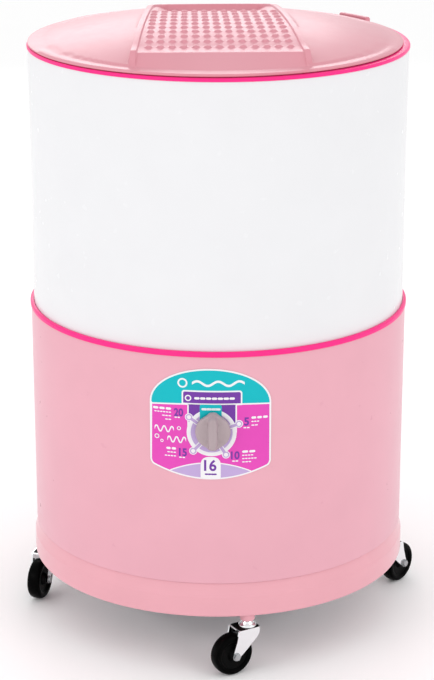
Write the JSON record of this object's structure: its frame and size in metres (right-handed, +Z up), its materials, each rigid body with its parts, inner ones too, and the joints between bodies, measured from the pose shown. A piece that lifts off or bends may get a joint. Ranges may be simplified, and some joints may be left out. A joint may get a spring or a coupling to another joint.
{
  "type": "round-tub washing machine",
  "caption": "Round free-standing agitator washer with a lift-off washboard lid, a timer knob and swivel casters.",
  "frame": {"origin": "on the floor under the tub's axis, between the caster wheels' contact points", "axes": "+Z up along the tub's axis; -Y towards the user, out of the control panel; +X to the user's right"},
  "size_m": [0.6346, 0.638, 0.9571],
  "materials": {
    "white_enamel": "gloss white enamel",
    "pink_shell": "gloss pink",
    "pink_plastic": "satin pink plastic",
    "hot_pink": "glossy hot-pink trim",
    "panel": "printed panel film",
    "knob_grey": "satin warm grey",
    "white_plastic": "satin white plastic",
    "black_plastic": "matt black",
    "black_wheel": "glossy black",
    "rubber": "black rubber",
    "chrome": "bright plated",
    "steel": "zinc plated",
    "cast": "cast, as made",
    "motor": "painted dark grey casting",
    "hose_grey": "matt grey"
  },
  "bodies": {
    "cabinet": {"upper_cabinet": "white_enamel", "lower_cabinet": "pink_shell", "mid_trim_band": "hot_pink", "top_trim_ring": "hot_pink", "rear_cover": "pink_shell", "base_ring": "pink_shell", "base_pan": "steel", "wash_tub": "white_plastic", "drain_strainer": "hose_grey", "drive_crossbrace": "steel", "bearing_housing": "cast", "shaft_seal": "rubber", "gearbox_case": "cast", "drive_belt": "rubber", "motor_housing": "motor", "motor_bracket": "steel", "run_capacitor": "white_plastic", "control_panel": "panel", "timer_housing": "black_plastic", "timer_nut": "steel", "timer_harness": "black_plastic", "drain_elbow": "white_plastic", "drain_hose": "hose_grey", "drain_spout": "hose_grey", "power_cord_gland": "black_plastic", "hose_holder": "pink_plastic", "rear_cover_screw_1": "steel", "rear_cover_screw_2": "steel", "rear_cover_screw_3": "steel", "rear_cover_screw_4": "steel", "motor_pad_1": "rubber", "motor_pad_2": "rubber", "motor_pad_3": "rubber"},
    "lid": {"lid": "pink_plastic"},
    "timer_knob": {"timer_knob": "knob_grey", "timer_shaft": "steel"},
    "agitator": {"agitator": "pink_plastic", "agitator_cap": "hot_pink", "agitator_shaft": "steel"},
    "gearbox_pulley": {"gearbox_pulley": "cast", "gearbox_input_shaft": "steel"},
    "motor_rotor": {"motor_shaft": "steel", "motor_pulley": "cast"},
    "front_caster": {"front_caster_fork": "chrome", "front_caster_axle": "steel"},
    "front_wheel": {"front_caster_wheel": "black_wheel"},
    "right_caster": {"right_caster_fork": "chrome", "right_caster_axle": "steel"},
    "right_wheel": {"right_caster_wheel": "black_wheel"},
    "rear_caster": {"rear_caster_fork": "chrome", "rear_caster_axle": "steel"},
    "rear_wheel": {"rear_caster_wheel": "black_wheel"},
    "left_caster": {"left_caster_fork": "chrome", "left_caster_axle": "steel"},
    "left_wheel": {"left_caster_wheel": "black_wheel"}
  },
  "joints": [
    {"name": "lid_lift", "type": "slide", "parent": "cabinet", "child": "lid", "axis": [0, 0, 1], "range_m": [0, 0.3]},
    {"name": "timer_turn", "type": "hinge", "parent": "cabinet", "child": "timer_knob", "pos_m": [0.0026, -0.3, 0.3964], "axis": [0, 1, 0], "range_deg": [0, 300]},
    {"name": "agitator_swing", "type": "hinge", "parent": "cabinet", "child": "agitator", "pos_m": [0, 0, 0.5], "axis": [0, 0, 1], "range_deg": [-100, 100]},
    {"name": "gearbox_pulley_spin", "type": "hinge", "parent": "cabinet", "child": "gearbox_pulley", "pos_m": [-0.025, 0, 0.2747], "axis": [0, 0, 1], "continuous": true},
    {"name": "motor_spin", "type": "hinge", "parent": "cabinet", "child": "motor_rotor", "pos_m": [0.165, 0, 0.2747], "axis": [0, 0, 1], "continuous": true},
    {"name": "front_caster_swivel", "type": "hinge", "parent": "cabinet", "child": "front_caster", "pos_m": [0.05381, -0.27682, 0.076], "axis": [0, 0, 1], "continuous": true},
    {"name": "front_wheel_roll", "type": "hinge", "parent": "front_caster", "child": "front_wheel", "pos_m": [0.03019, -0.29186, 0.033], "axis": [0.5373, -0.8434, 0], "continuous": true},
    {"name": "right_caster_swivel", "type": "hinge", "parent": "cabinet", "child": "right_caster", "pos_m": [0.27926, 0.03925, 0.076], "axis": [0, 0, 1], "continuous": true},
    {"name": "right_wheel_roll", "type": "hinge", "parent": "right_caster", "child": "right_wheel", "pos_m": [0.29649, 0.06131, 0.033], "axis": [-0.788, 0.6157, 0], "continuous": true},
    {"name": "rear_caster_swivel", "type": "hinge", "parent": "cabinet", "child": "rear_caster", "pos_m": [-0.04897, 0.27772, 0.076], "axis": [0, 0, 1], "continuous": true},
    {"name": "rear_wheel_roll", "type": "hinge", "parent": "rear_caster", "child": "rear_wheel", "pos_m": [-0.02535, 0.29276, 0.033], "axis": [-0.5373, 0.8434, 0], "continuous": true},
    {"name": "left_caster_swivel", "type": "hinge", "parent": "cabinet", "child": "left_caster", "pos_m": [-0.28399, -0.00248, 0.076], "axis": [0, 0, 1], "continuous": true},
    {"name": "left_wheel_roll", "type": "hinge", "parent": "left_caster", "child": "left_wheel", "pos_m": [-0.29171, -0.02939, 0.033], "axis": [0.9613, -0.2756, 0], "continuous": true}
  ],
  "couplings": [
    {"joint": "motor_spin", "follows": "gearbox_pulley_spin", "ratio": 4}
  ]
}
